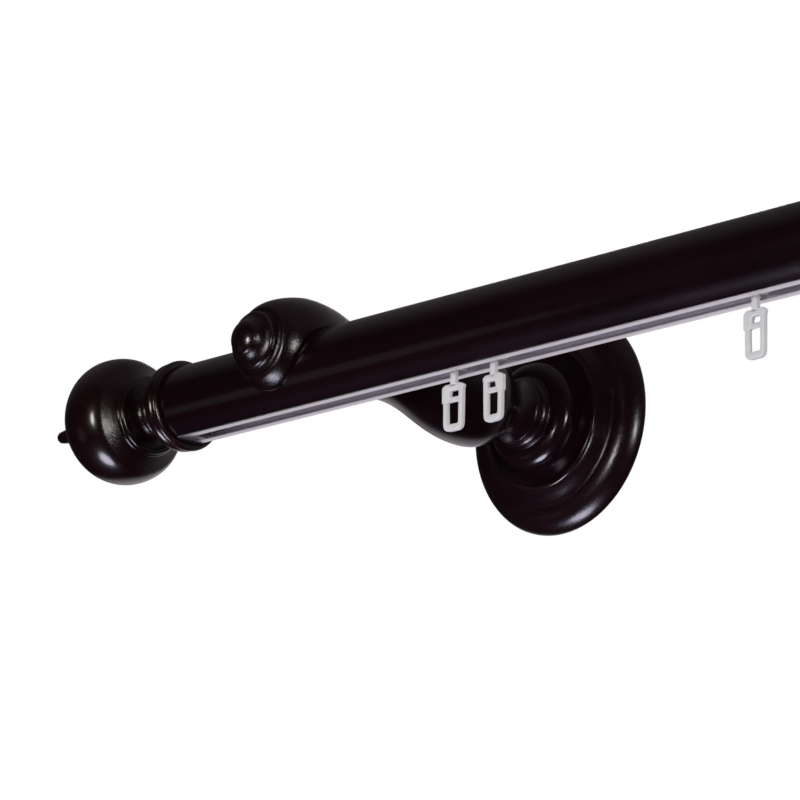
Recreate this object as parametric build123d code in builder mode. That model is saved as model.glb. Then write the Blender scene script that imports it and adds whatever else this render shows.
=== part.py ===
from build123d import *
import os

os.makedirs("parts", exist_ok=True)

# Wooden curtain rod with a glider track, two turned wall brackets and two ball finials.
# Millimetres. X runs along the rod, -Y points into the room and +Z is up.
# The origin is on the wall, midway between the brackets, at the height of their arms.

# Rod and where it hangs
rod_diameter = 28.0
rod_length = 1000.0
rod_to_wall = 131.6
arm_rise = 8.6
bracket_inset = 59.4

# Track, an aluminium channel let into the underside of the rod
track_width = 12.0
track_height = 7.0
track_wall = 1.2
track_slot = 5.4
track_proud = 0.25
track_edge = 0.3
track_reveal = 1.0
groove_fit = 0.1
end_stop_length = 6.0
end_stop_fit = 0.1

# Screws and their holes
hole_fit = 0.1
screw_tip = 2.0
finial_screw_diameter = 6.0
finial_screw_length = 50.0
arm_screw_diameter = 8.0
arm_screw_length = 46.0
rod_screw_diameter = 4.0
rod_screw_head = 7.6
rod_screw_grip = 8.0
track_screw_diameter = 3.0
track_screw_head = 5.0
track_screw_length = 12.0
track_screw_count = 5
track_screw_spacing = 200.0
insert_diameter = 10.0
insert_length = 12.0
insert_bore = 6.2

# Finial, turned in one piece, measured outward from its mouth
socket_depth = 3.0
socket_fit = 0.15
mouth_wall = 1.15
rim_bead = 2.4
rim_swell = 0.95
collar_width = 5.2
collar_swell = 1.4
collar_taper = 1.7
neck_radius = 8.3
neck_shoulder = 0.6
shoulder_drop = 1.2
neck_hollow = 4.0
neck_hollow_sink = 1.0
neck_bead = 4.0
neck_swell = 1.1
neck_cove = 2.8
neck_cove_sink = 1.1
ring_radius = 13.5
ring_width = 1.4
ring_step = 0.6
ring_swell = 0.5
ball_cove = 1.5
ball_edge_radius = 18.6
ball_radius = 22.7
ball_front = 11.4
ball_back = 16.6
nub_base_radius = 5.0
nub_cove = 2.2
nub_radius = 3.4
nub_length = 13.0
nub_end_radius = 2.5
nub_round = 3.5

# Bracket arm, turned in one piece, measured from the rod's axis
saddle_fit = 0.15
bulb_wall = 4.8
bulb_front = 5.2
bulb_front_radius = 11.3
tip_reach = 16.6
tip_nub_radius = 5.2
tip_nub_length = 3.0
button_radius = 9.6
button_face_radius = 9.2
button_width = 3.2
button_swell = 1.5
tip_cove = 4.0
tip_cove_sink = 0.9
button_cove_sink = 0.5
waist_radius = 8.8
waist_back = 41.0
rear_bulb_radius = 17.2
rear_bulb_end = 10.0
arm_end_radius = 11.0

# Bracket rose, turned in one piece, measured from the wall
rose_radius = 41.5
rose_edge = 0.8
rose_length = 36.0
groove_height = 6.0
groove_radius = 32.0
rim_swell_depth = 2.2
step_radius = 25.0
step_width = 1.6
step_height = 10.6
step_swell = 0.5
dome_base_radius = 18.0
dome_base_height = 9.9
dome_radius = 19.6
dome_height = 14.6
dome_end_radius = 13.8
dome_end_height = 19.4
recess_sink = 0.8
small_bead = 1.4
small_bead_radius = 13.2
small_bead_swell = 0.4
bead_gap = 0.9
bead_gap_sink = 0.25
front_bead = 1.8
front_bead_back = 12.9
front_bead_front = 12.5
front_bead_swell = 0.6
neck_hollow_width = 3.1
neck_hollow_dip = 0.8
neck_ring = 1.8
neck_ring_radius = 11.9
neck_ring_swell = 0.6
rose_neck_radius = 10.8
rose_neck_sink = 1.4

# Gliders, moulded in one piece, measured down from the face of the track, each at a share of the rod's half
glider_shares = (-0.731, -0.6944, -0.4682, -0.256, -0.092, 0.104, 0.282, 0.478, 0.662, 0.704)
glider_turns = (3.0, 178.0, -4.0, 176.0, -5.0, 3.0, 185.0, -9.0, 4.0, 174.0)
glider_run = 0.25
head_length = 4.4
head_width = 8.0
head_height = 1.6
stem_width = 2.4
stem_depth = 1.8
stem_drop = 3.45
shoulder_width = 9.4
shoulder_height = 2.2
shoulder_slope = 0.9
ring_span = 8.6
ring_height = 16.0
ring_depth = 1.8
strap_width = 1.7
latch_width = 2.3
latch_out = 0.5
latch_drop = 6.2
window_top = 2.3
window_height = 2.1
crossbar_height = 1.8
crossbar_depth = 1.0
foot_height = 2.3
foot_round = 2.6
window_round = 0.5

# How full a curve swells: the handle that makes a cubic curve a quarter of an ellipse
round_handle = 0.5523
bulb_handle = 0.44
waist_handle = 0.39
rear_handle = 0.35
slope_handle = 0.4

# Places that follow from the sizes above
rod_radius = rod_diameter / 2
rod_y = -rod_to_wall
rod_z = -arm_rise
rod_end = rod_length / 2
bracket_x = rod_end - bracket_inset
track_flush = (rod_radius**2 - (track_width / 2) ** 2) ** 0.5
track_face = rod_z - track_flush - track_proud
track_top = track_face + track_height
track_end = rod_end - socket_depth - track_reveal
channel_floor = track_face + track_wall
channel_width = track_width - 2 * track_wall
channel_height = track_height - 2 * track_wall
stop_face = track_end - end_stop_length
sides = (("left", -1), ("right", 1))


def quarter(start, end):
    """Control points of a quarter round that leaves start radially and meets end along the axis."""
    return (
        start,
        (start[0], start[1] + round_handle * (end[1] - start[1])),
        (end[0] - round_handle * (end[0] - start[0]), end[1]),
        end,
    )


def ogee(start, end, near, far):
    """Control points of a curve that leaves start and meets end along the axis."""
    run = end[0] - start[0]
    return (start, (start[0] + near * run, start[1]), (end[0] - far * run, end[1]), end)


def slope(start, end, handle):
    """Control points of a curve that leaves start and meets end radially."""
    reach = handle * (end[1] - start[1])
    return (start, (start[0], start[1] + reach), (end[0], end[1] - reach), end)


def upright(origin, along):
    """Upright plane whose x runs along a level direction, which is a turning axis or a ring's width."""
    level = Vector(*along)
    return Plane(origin=origin, x_dir=level, z_dir=level.cross(Vector(0, 0, 1)))


# Rod: a round pole with a stopped groove for the track and holes for its screws
with BuildPart() as rod:
    with BuildSketch(Plane.YZ.offset(-rod_end)):
        with Locations((rod_y, rod_z)):
            Circle(rod_radius)
    extrude(amount=rod_length)
    with BuildSketch(Plane.XY.offset(track_top)):
        with Locations((0, rod_y)):
            Rectangle(2 * (track_end + groove_fit), track_width + 2 * groove_fit)
    extrude(amount=-rod_diameter, mode=Mode.SUBTRACT)
    for name, sign in sides:
        with Locations(Plane(origin=(sign * rod_end, rod_y, rod_z), z_dir=(sign, 0, 0))):
            Hole(finial_screw_diameter / 2 + hole_fit, depth=finial_screw_length / 2 + hole_fit)
        with Locations(Plane(origin=(sign * bracket_x, rod_y, track_top), z_dir=(0, 0, -1))):
            CounterSinkHole(
                rod_screw_diameter / 2 + hole_fit,
                rod_screw_head / 2 + hole_fit,
                depth=rod_diameter,
                counter_sink_angle=90,
            )
    with Locations(Plane(origin=(0, rod_y, track_top), z_dir=(0, 0, -1))):
        with GridLocations(track_screw_spacing, 1, track_screw_count, 1):
            Hole(track_screw_diameter / 2 + hole_fit, depth=track_screw_length)
rod.part.label = "rod"
export_step(rod.part, "parts/rod.step")

# Track: a channel with two lips, its edges eased, and countersunk holes in its web
with BuildPart() as track:
    with BuildSketch(Plane.YZ.offset(-track_end)) as track_section:
        with Locations((rod_y, track_face + track_height / 2)):
            Rectangle(track_width, track_height)
            Rectangle(channel_width, channel_height, mode=Mode.SUBTRACT)
        with Locations((rod_y, track_face)):
            Rectangle(track_slot, 2 * track_wall, mode=Mode.SUBTRACT)
        fillet(track_section.vertices().group_by(Axis.Y)[0], radius=track_edge)
    extrude(amount=2 * track_end)
    with Locations(Plane(origin=(0, rod_y, track_top - track_wall), z_dir=(0, 0, -1))):
        with GridLocations(track_screw_spacing, 1, track_screw_count, 1):
            CounterSinkHole(
                track_screw_diameter / 2 + hole_fit,
                track_screw_head / 2 + hole_fit,
                depth=2 * track_wall,
                counter_sink_angle=90,
            )
track.part.label = "track"
export_step(track.part, "parts/track.step")

# End stops: a plug in each end of the channel with a rib that fills the slot
for name, sign in sides:
    with BuildPart() as end_stop:
        with BuildSketch(Plane.YZ.offset(sign * stop_face)):
            with Locations((rod_y, channel_floor + channel_height / 2)):
                Rectangle(channel_width - 2 * end_stop_fit, channel_height - 2 * end_stop_fit)
            with Locations((rod_y, track_face + track_wall / 2 + end_stop_fit)):
                Rectangle(track_slot - 2 * end_stop_fit, track_wall)
        extrude(amount=sign * end_stop_length)
    end_stop.part.label = f"end_stop_{name}"
    export_step(end_stop.part, f"parts/end_stop_{name}.step")

# Finials: a beaded collar over the rod's end, a hollow neck with a bead and rings, a ball and an end nub
mouth_radius = rod_radius + socket_fit + mouth_wall
rim_back = rim_bead
collar_back = rim_back + collar_width
hollow_front = collar_back + neck_shoulder
neck_front = hollow_front + neck_hollow
neck_back = neck_front + neck_bead
ring_front = neck_back + neck_cove
ring_middle = ring_front + ring_width
ring_back = ring_middle + ring_width
ball_edge = ring_back + ball_cove
ball_middle = ball_edge + ball_front
ball_end = ball_middle + ball_back
nub_front = ball_end + nub_cove
nub_back = nub_front + nub_length
finial_length = nub_back + nub_round
for name, sign in sides:
    mouth = (sign * (rod_end - socket_depth), rod_y, rod_z)
    with BuildPart() as finial:
        with BuildSketch(upright(mouth, (sign, 0, 0))):
            with BuildLine() as outline:
                Polyline(
                    (finial_length, 0),
                    (socket_depth, 0),
                    (socket_depth, rod_radius + socket_fit),
                    (0, rod_radius + socket_fit),
                    (0, mouth_radius),
                )
                SagittaArc((0, mouth_radius), (rim_back, mouth_radius), rim_swell)
                collar_foot = (collar_back, mouth_radius - collar_taper)
                SagittaArc((rim_back, mouth_radius), collar_foot, collar_swell)
                hollow_top = (hollow_front, collar_foot[1] - shoulder_drop)
                Line(collar_foot, hollow_top)
                neck_top = (neck_front, neck_radius)
                SagittaArc(hollow_top, neck_top, -neck_hollow_sink)
                neck_foot = (neck_back, neck_radius)
                SagittaArc(neck_top, neck_foot, neck_swell)
                ring_foot = (ring_front, ring_radius)
                SagittaArc(neck_foot, ring_foot, -neck_cove_sink)
                ring_mid = (ring_middle, ring_radius + ring_step)
                SagittaArc(ring_foot, ring_mid, ring_swell)
                ring_top = (ring_back, ring_radius + 2 * ring_step)
                SagittaArc(ring_mid, ring_top, ring_swell)
                ball_rim = (ball_edge, ball_edge_radius)
                Bezier(*quarter(ball_rim, ring_top))
                ball_crest = (ball_middle, ball_radius)
                TangentArc(ball_crest, ball_rim, tangent=(-1, 0))
                ball_foot = (ball_end, nub_base_radius)
                Bezier(*quarter(ball_foot, ball_crest))
                nub_foot = (nub_front, nub_radius)
                SagittaArc(ball_foot, nub_foot, -nub_cove / 4)
                nub_end = (nub_back, nub_end_radius)
                Line(nub_foot, nub_end)
                Bezier(*quarter((finial_length, 0), nub_end))
            make_face()
        revolve(axis=Axis(mouth, (sign, 0, 0)))
        with Locations(Plane(origin=(sign * rod_end, rod_y, rod_z), z_dir=(-sign, 0, 0))):
            Hole(finial_screw_diameter / 2 + hole_fit, depth=finial_screw_length / 2 + hole_fit)
    finial.part.label = f"finial_{name}"
    export_step(finial.part, f"parts/finial_{name}.step")

# Bracket arms: a tip button, a bulb that wraps over the rod, a waist and a rear bulb
tip = rod_radius + tip_reach
tip_nub_back = tip - tip_nub_length
button_front = tip_nub_back - tip_cove
button_back = button_front - button_width
bulb_radius = rod_radius + bulb_wall
arm_back = rose_length - rod_to_wall
saddle_radius = rod_radius + saddle_fit
for name, sign in sides:
    crossing = (sign * bracket_x, rod_y, 0)
    with BuildPart() as arm:
        with BuildSketch(upright(crossing, (0, -1, 0))):
            with BuildLine() as outline:
                nub_top = (tip_nub_back, tip_nub_radius)
                TangentArc((tip, 0), nub_top, tangent=(0, 1))
                button_face = (button_front, button_face_radius)
                SagittaArc(nub_top, button_face, tip_cove_sink)
                button_foot = (button_back, button_radius)
                SagittaArc(button_face, button_foot, -button_swell)
                bulb_nose = (rod_radius + bulb_front, bulb_front_radius)
                SagittaArc(button_foot, bulb_nose, button_cove_sink)
                bulb_crest = (0, bulb_radius)
                Bezier(*quarter(bulb_nose, bulb_crest))
                waist = (-waist_back, waist_radius)
                Bezier(*ogee(bulb_crest, waist, bulb_handle, waist_handle))
                rear_crest = (arm_back + rear_bulb_end, rear_bulb_radius)
                Bezier(*ogee(waist, rear_crest, rear_handle, waist_handle))
                arm_end = (arm_back, arm_end_radius)
                Bezier(*quarter(arm_end, rear_crest))
                Polyline(arm_end, (arm_back, 0), (tip, 0))
            make_face()
        revolve(axis=Axis(crossing, (0, -1, 0)))
        with BuildSketch(Plane.YZ.offset(sign * bracket_x)):
            with Locations((rod_y, rod_z)):
                Circle(saddle_radius)
        extrude(amount=bulb_radius, both=True, mode=Mode.SUBTRACT)
        with Locations(Plane(origin=(sign * bracket_x, -rose_length, 0), z_dir=(0, 1, 0))):
            Hole(arm_screw_diameter / 2 + hole_fit, depth=arm_screw_length / 2 + hole_fit)
        with Locations(Plane(origin=(sign * bracket_x, rod_y, rod_z), z_dir=(0, 0, -1))):
            Hole(rod_screw_diameter / 2 + hole_fit, depth=rod_radius + rod_screw_grip + hole_fit)
    arm.part.label = f"arm_{name}"
    export_step(arm.part, f"parts/arm_{name}.step")

# Bracket roses: a rim, a groove, a slope, a step, a domed collar and a neck with three beads
dome_end = (dome_end_height, dome_end_radius)
small_front = (dome_end_height + small_bead, small_bead_radius)
gap_front = (small_front[0] + bead_gap, front_bead_back)
bead_front = (gap_front[0] + front_bead, front_bead_front)
hollow_end = (bead_front[0] + neck_hollow_width, neck_ring_radius)
ring_end = (hollow_end[0] + neck_ring, neck_ring_radius)
for name, sign in sides:
    wall = (sign * bracket_x, 0, 0)
    with BuildPart() as rose:
        with BuildSketch(upright(wall, (0, -1, 0))):
            with BuildLine() as outline:
                rose_rim = (rose_edge, rose_radius)
                Polyline((rose_length, rose_neck_radius), (rose_length, 0), (0, 0), (0, rose_radius), rose_rim)
                groove = (groove_height, groove_radius)
                SagittaArc(rose_rim, groove, rim_swell_depth)
                step_foot = (step_height, step_radius + step_width)
                Bezier(*slope(groove, step_foot, slope_handle))
                step_top = (step_height, step_radius)
                SagittaArc(step_foot, step_top, step_swell)
                dome_base = (dome_base_height, dome_base_radius)
                SagittaArc(step_top, dome_base, -recess_sink)
                dome_crest = (dome_height, dome_radius)
                Bezier(*quarter(dome_base, dome_crest))
                Bezier(*quarter(dome_end, dome_crest))
                SagittaArc(dome_end, small_front, small_bead_swell)
                SagittaArc(small_front, gap_front, -bead_gap_sink)
                SagittaArc(gap_front, bead_front, front_bead_swell)
                SagittaArc(bead_front, hollow_end, -neck_hollow_dip)
                SagittaArc(hollow_end, ring_end, neck_ring_swell)
                SagittaArc(ring_end, (rose_length, rose_neck_radius), -rose_neck_sink)
            make_face()
        revolve(axis=Axis(wall, (0, -1, 0)))
        with Locations(Plane(origin=(sign * bracket_x, -rose_length, 0), z_dir=(0, -1, 0))):
            Hole(arm_screw_diameter / 2 + hole_fit, depth=arm_screw_length / 2 + hole_fit)
        with Locations(Plane(origin=wall, z_dir=(0, 1, 0))):
            Hole(insert_diameter / 2 + hole_fit, depth=insert_length)
    rose.part.label = f"rose_{name}"
    export_step(rose.part, f"parts/rose_{name}.step")

# Wall inserts: threaded sleeves in the backs of the roses
with BuildPart() as wall_inserts:
    for name, sign in sides:
        with BuildSketch(Plane(origin=(sign * bracket_x, 0, 0), z_dir=(0, -1, 0))):
            Circle(insert_diameter / 2)
            Circle(insert_bore / 2, mode=Mode.SUBTRACT)
        extrude(amount=insert_length)
wall_inserts.part.label = "wall_inserts"
export_step(wall_inserts.part, "parts/wall_inserts.step")

# Dowel screws, pointed at both ends: rod to finial, and arm to rose
with BuildPart() as finial_screws:
    for name, sign in sides:
        with BuildSketch(upright((sign * rod_end, rod_y, rod_z), (sign, 0, 0))):
            half = finial_screw_length / 2
            radius = finial_screw_diameter / 2
            with BuildLine():
                Polyline(
                    (-half, 0), (screw_tip - half, radius), (half - screw_tip, radius), (half, 0), close=True
                )
            make_face()
        revolve(axis=Axis((sign * rod_end, rod_y, rod_z), (sign, 0, 0)))
finial_screws.part.label = "finial_screws"
export_step(finial_screws.part, "parts/finial_screws.step")

with BuildPart() as arm_screws:
    for name, sign in sides:
        joint = (sign * bracket_x, -rose_length, 0)
        with BuildSketch(upright(joint, (0, -1, 0))):
            half = arm_screw_length / 2
            radius = arm_screw_diameter / 2
            with BuildLine():
                Polyline(
                    (-half, 0), (screw_tip - half, radius), (half - screw_tip, radius), (half, 0), close=True
                )
            make_face()
        revolve(axis=Axis(joint, (0, -1, 0)))
arm_screws.part.label = "arm_screws"
export_step(arm_screws.part, "parts/arm_screws.step")

# Countersunk screws: rod to arm, under the track, and track to rod
with BuildPart() as rod_screws:
    for name, sign in sides:
        seat = (sign * bracket_x, rod_y, track_top)
        length = rod_z + rod_radius + rod_screw_grip - track_top
        head_taper = (rod_screw_head - rod_screw_diameter) / 2
        with BuildSketch(Plane(origin=seat, x_dir=(0, 0, 1), z_dir=(1, 0, 0))):
            with BuildLine():
                Polyline(
                    (0, 0),
                    (0, rod_screw_head / 2),
                    (head_taper, rod_screw_diameter / 2),
                    (length - screw_tip, rod_screw_diameter / 2),
                    (length, 0),
                    close=True,
                )
            make_face()
        revolve(axis=Axis(seat, (0, 0, 1)))
rod_screws.part.label = "rod_screws"
export_step(rod_screws.part, "parts/rod_screws.step")

with BuildPart() as track_screws:
    seat = (0, rod_y, track_top - track_wall)
    head_taper = (track_screw_head - track_screw_diameter) / 2
    with BuildSketch(Plane(origin=seat, x_dir=(0, 0, 1), z_dir=(1, 0, 0)), mode=Mode.PRIVATE) as screw_half:
        with BuildLine():
            Polyline(
                (0, 0),
                (0, track_screw_head / 2),
                (head_taper, track_screw_diameter / 2),
                (track_screw_length - screw_tip, track_screw_diameter / 2),
                (track_screw_length, 0),
                close=True,
            )
        make_face()
    with GridLocations(track_screw_spacing, 1, track_screw_count, 1):
        add(revolve(screw_half.sketch, axis=Axis(seat, (0, 0, 1)), mode=Mode.PRIVATE))
track_screws.part.label = "track_screws"
export_step(track_screws.part, "parts/track_screws.step")

# Gliders: a head in the channel, a stem through the slot and a ring with a latch and a crossbar
head_foot = channel_floor + glider_run
shoulder_top = track_face - stem_drop
ring_foot_z = shoulder_top - ring_height
window_ceiling = shoulder_top - window_top
crossbar_top = window_ceiling - window_height
hole_top = crossbar_top - crossbar_height
hole_floor = ring_foot_z + foot_height
half_span = ring_span / 2
for number, (share, turn) in enumerate(zip(glider_shares, glider_turns), start=1):
    place = share * rod_end
    along = Vector(1, 0, 0).rotate(Axis.Z, turn)
    ring_plane = upright((place, rod_y, 0), along)
    head_plane = Plane(origin=(place, rod_y, head_foot), x_dir=along, z_dir=(0, 0, 1))
    with BuildPart() as glider:
        with BuildSketch(head_plane):
            Rectangle(head_length, head_width)
        extrude(amount=head_height)
        with BuildSketch(head_plane):
            Rectangle(stem_width, stem_depth)
        extrude(amount=shoulder_top - shoulder_height / 2 - head_foot)
        with BuildSketch(ring_plane) as ring_face:
            with Locations((0, (shoulder_top + ring_foot_z) / 2)):
                Rectangle(ring_span, ring_height)
            fillet(ring_face.vertices().group_by(Axis.Y)[0], radius=foot_round)
            with BuildLine():
                Polyline(
                    (-shoulder_width / 2, shoulder_top - shoulder_slope),
                    (-half_span + shoulder_slope, shoulder_top),
                    (half_span - shoulder_slope, shoulder_top),
                    (shoulder_width / 2, shoulder_top - shoulder_slope),
                    (half_span, shoulder_top - shoulder_height),
                    (-half_span, shoulder_top - shoulder_height),
                    close=True,
                )
            make_face()
            with Locations((-half_span - latch_out, shoulder_top - shoulder_slope)):
                Rectangle(
                    latch_width + latch_out, latch_drop - shoulder_slope, align=(Align.MIN, Align.MAX)
                )
            with Locations((latch_width - half_span, window_ceiling)):
                Rectangle(
                    ring_span - latch_width - strap_width,
                    window_height + crossbar_height + window_round,
                    align=(Align.MIN, Align.MAX),
                    mode=Mode.SUBTRACT,
                )
            with Locations((0, hole_floor)):
                RectangleRounded(
                    ring_span - 2 * strap_width,
                    hole_top - hole_floor,
                    window_round,
                    align=(Align.CENTER, Align.MIN),
                    mode=Mode.SUBTRACT,
                )
        extrude(amount=ring_depth / 2, both=True)
        with BuildSketch(ring_plane):
            with Locations((0, crossbar_top)):
                Rectangle(ring_span - strap_width, crossbar_height, align=(Align.CENTER, Align.MAX))
        extrude(amount=crossbar_depth / 2, both=True)
    glider.part.label = f"glider_{number}"
    export_step(glider.part, f"parts/glider_{number}.step")
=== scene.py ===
import logging
import math
from dataclasses import dataclass
from enum import Enum
from typing import Any, Callable, Mapping, Optional, Sequence, Union

import bmesh
import bpy
from bpy.types import ID, Material, Mesh, Node, NodeSocket, NodeTree, Object
from mathutils import Matrix, Vector


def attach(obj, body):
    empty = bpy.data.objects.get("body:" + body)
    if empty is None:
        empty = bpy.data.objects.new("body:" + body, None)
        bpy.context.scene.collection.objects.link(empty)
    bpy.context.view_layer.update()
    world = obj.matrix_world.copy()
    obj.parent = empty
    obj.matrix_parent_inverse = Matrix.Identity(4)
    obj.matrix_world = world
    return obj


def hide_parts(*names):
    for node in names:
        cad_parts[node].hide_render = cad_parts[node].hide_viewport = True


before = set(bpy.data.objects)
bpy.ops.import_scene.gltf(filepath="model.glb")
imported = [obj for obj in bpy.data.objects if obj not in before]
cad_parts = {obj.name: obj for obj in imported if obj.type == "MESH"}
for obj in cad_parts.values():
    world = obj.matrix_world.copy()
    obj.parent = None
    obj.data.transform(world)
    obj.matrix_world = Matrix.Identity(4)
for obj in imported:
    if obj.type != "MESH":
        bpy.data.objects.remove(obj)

LOG = logging.getLogger("curtain_rod")
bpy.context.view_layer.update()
MM = 0.001
TAU = 2.0 * math.pi
CIRCLE_FLATS = 160
WELD = 1e-6
SEAM = 2e-6
Point = tuple[float, float]
Triple = tuple[float, float, float]
Colour = Triple


def clamp(value: float, low: float = 0.0, high: float = 1.0) -> float:
    """The value, kept between two limits."""
    return max(low, min(high, value))


class Side(Enum):
    """The two ends of the rod."""

    LEFT = -1
    RIGHT = 1

    @property
    def word(self) -> str:
        """The side's name as the frame spells it."""
        return self.name.lower()


class Grain(Enum):
    """The way the wood's fibres run in a piece."""

    ALONG_ROD = 0
    TO_WALL = 1


class Wire:
    """A node socket that can be used in Python expressions."""

    def __init__(self, graph: "Graph", socket: NodeSocket) -> None:
        """Keep the socket and the graph that it belongs to."""
        self.graph = graph
        self.socket = socket

    def _maths(self, operation: str, first: Any, second: Any) -> "Wire":
        """Add one Math node and return its result."""
        return self.graph.node("ShaderNodeMath", {"operation": operation}, {0: first, 1: second})

    def __add__(self, other: Any) -> "Wire":
        """Sum of two values."""
        return self._maths("ADD", self, other)

    def __radd__(self, other: Any) -> "Wire":
        """Sum with a number on the left."""
        return self._maths("ADD", other, self)

    def __sub__(self, other: Any) -> "Wire":
        """Difference of two values."""
        return self._maths("SUBTRACT", self, other)

    def __rsub__(self, other: Any) -> "Wire":
        """Difference with a number on the left."""
        return self._maths("SUBTRACT", other, self)

    def __mul__(self, other: Any) -> "Wire":
        """Product of two values."""
        return self._maths("MULTIPLY", self, other)

    def __rmul__(self, other: Any) -> "Wire":
        """Product with a number on the left."""
        return self._maths("MULTIPLY", other, self)

    def __truediv__(self, other: Any) -> "Wire":
        """Quotient of two values."""
        return self._maths("DIVIDE", self, other)

    def __mod__(self, other: Any) -> "Wire":
        """Remainder that is never negative."""
        return self._maths("FLOORED_MODULO", self, other)

    def through(self, operation: str) -> "Wire":
        """The value put through a Math node of one input."""
        return self.graph.node("ShaderNodeMath", {"operation": operation}, {0: self})

    def between(self, low: float, high: float) -> "Wire":
        """A smooth step from 0 at low to 1 at high."""
        feeds = {"Value": self, "From Min": low, "From Max": high}
        return self.graph.node("ShaderNodeMapRange", {"interpolation_type": "SMOOTHSTEP"}, feeds)


class Graph:
    """A node tree that is written in code."""

    def __init__(self, tree: NodeTree) -> None:
        """Keep the tree."""
        self.tree = tree

    def node(
        self,
        kind: str,
        settings: Optional[Mapping[str, Any]] = None,
        feeds: Optional[Mapping[Union[str, int], Any]] = None,
        out: Union[str, int] = 0,
    ) -> Wire:
        """Add a node, set it up and feed its sockets.

        Args:
            kind: Blender's name for the node's type.
            settings: The node's own properties.
            feeds: Socket names or numbers with a value or a wire for each.
            out: The output to return.

        Returns:
            The chosen output as a wire, or the node's first input where it has no output.
        """
        made = self.tree.nodes.new(kind)
        for key, value in (settings or {}).items():
            setattr(made, key, value)
        self.dress(made, feeds or {})
        return Wire(self, made.outputs[out] if len(made.outputs) else made.inputs[0])

    def feed(self, socket: NodeSocket, value: Any) -> None:
        """Link a wire to a socket, or set the socket's own value.

        Args:
            socket: The socket.
            value: A wire, or a value that suits the socket.
        """
        if isinstance(value, Wire):
            self.tree.links.new(value.socket, socket)
        elif isinstance(value, tuple) and len(value) == 3 and socket.type == "RGBA":
            socket.default_value = (*value, 1.0)
        else:
            socket.default_value = value

    def dress(self, node: Node, feeds: Mapping[Union[str, int], Any]) -> None:
        """Feed several sockets of a node."""
        for key, value in feeds.items():
            self.feed(node.inputs[key], value)

    def blend(self, share: Any, first: Any, second: Any) -> Wire:
        """Mix two colours by a share."""
        return self.node("ShaderNodeMix", {"data_type": "RGBA"}, {0: share, 6: first, 7: second}, out=2)

    def noise(self, cells: Union[float, Triple], detail: float = 2.0, roughness: float = 0.5) -> Wire:
        """Noise from 0 to 1 in the piece's own coordinates.

        Args:
            cells: Cells to the metre, alike or along each axis.
            detail: How many finer layers there are.
            roughness: How strong the finer layers are.

        Returns:
            The noise.
        """
        scale = cells if isinstance(cells, tuple) else (cells, cells, cells)
        here = self.node("ShaderNodeTexCoord", None, None, "Object")
        place = self.node("ShaderNodeMapping", None, {"Vector": here, "Scale": scale})
        feeds = {"Vector": place, "Scale": 1.0, "Detail": detail, "Roughness": roughness}
        return self.node("ShaderNodeTexNoise", None, feeds)

    def bump(self, strength: float, distance: float, height: Wire) -> Wire:
        """A normal that follows a height, as a share of a distance in metres."""
        feeds = {"Strength": strength, "Distance": distance, "Height": height}
        return self.node("ShaderNodeBump", None, feeds)


def new_material(name: str) -> tuple[Material, Graph, Node]:
    """A fresh material with its graph and its shader.

    Args:
        name: The finish's name.

    Returns:
        The material, its graph and its Principled shader.
    """
    made = bpy.data.materials.new(name)
    made.use_nodes = True
    graph = Graph(made.node_tree)
    return made, graph, made.node_tree.nodes["Principled BSDF"]


@dataclass(frozen=True)
class LacqueredWood:
    """Turned wood, stained almost black with a red cast, under a glossy lacquer.

    Patterns are sized in cells to the metre, along and across the fibres where there are two sizes.
    """

    name: str
    grain: Grain
    deep: Colour = (0.0032, 0.0007, 0.0016)
    warm: Colour = (0.0074, 0.0014, 0.0031)
    worn: Colour = (0.030, 0.012, 0.012)
    pores: Colour = (0.0015, 0.0008, 0.001)
    roughness: float = 0.175
    coat: float = 0.2
    coat_roughness: float = 0.1
    ior: float = 1.48
    figure_cells: Point = (9.0, 110.0)
    streak_cells: Point = (28.0, 700.0)
    pore_cells: Point = (160.0, 2600.0)
    cloud_cells: float = 34.0
    grit_cells: float = 1400.0
    relief: float = 0.00012

    def _drawn_out(self, along: float, across: float) -> Triple:
        """Scales for a pattern that is drawn out along the fibres."""
        return (along, across, across) if self.grain is Grain.ALONG_ROD else (across, along, across)

    def material(self) -> Material:
        """Build the finish.

        Returns:
            The material.
        """
        made, g, shader = new_material(self.name)
        figure = g.noise(self._drawn_out(*self.figure_cells), 4.0, 0.6)
        streak = g.noise(self._drawn_out(*self.streak_cells), 3.0, 0.55)
        pore = g.noise(self._drawn_out(*self.pore_cells), 1.0).between(0.62, 0.72)
        cloud = g.noise(self.cloud_cells)
        grit = g.noise(self.grit_cells, 2.0, 0.6).between(0.35, 0.7)
        hollow = g.node("ShaderNodeAttribute", {"attribute_name": "hollow"}, None, "Fac")
        crest = g.node("ShaderNodeAttribute", {"attribute_name": "crest"}, None, "Fac")
        share = (figure * 0.55 + streak * 0.25 + cloud * 0.2).between(0.32, 0.68)
        stain = g.blend(share, self.deep, self.warm)
        stain = g.blend(crest * cloud.between(0.45, 0.65) * 0.6, stain, self.worn)
        height = grit * hollow * 0.65 + streak * 0.03 - pore * 0.05 + cloud * 0.03
        feeds = {
            "Base Color": g.blend(pore * 0.6, stain, self.pores),
            "Roughness": self.roughness + cloud * 0.05 + hollow * 0.05 + pore * 0.05,
            "Coat Weight": self.coat * (1.0 - hollow * 0.8),
            "Coat Roughness": self.coat_roughness,
            "IOR": self.ior,
            "Normal": g.bump(0.5, self.relief, height),
        }
        g.dress(shader, feeds)
        return made


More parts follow.
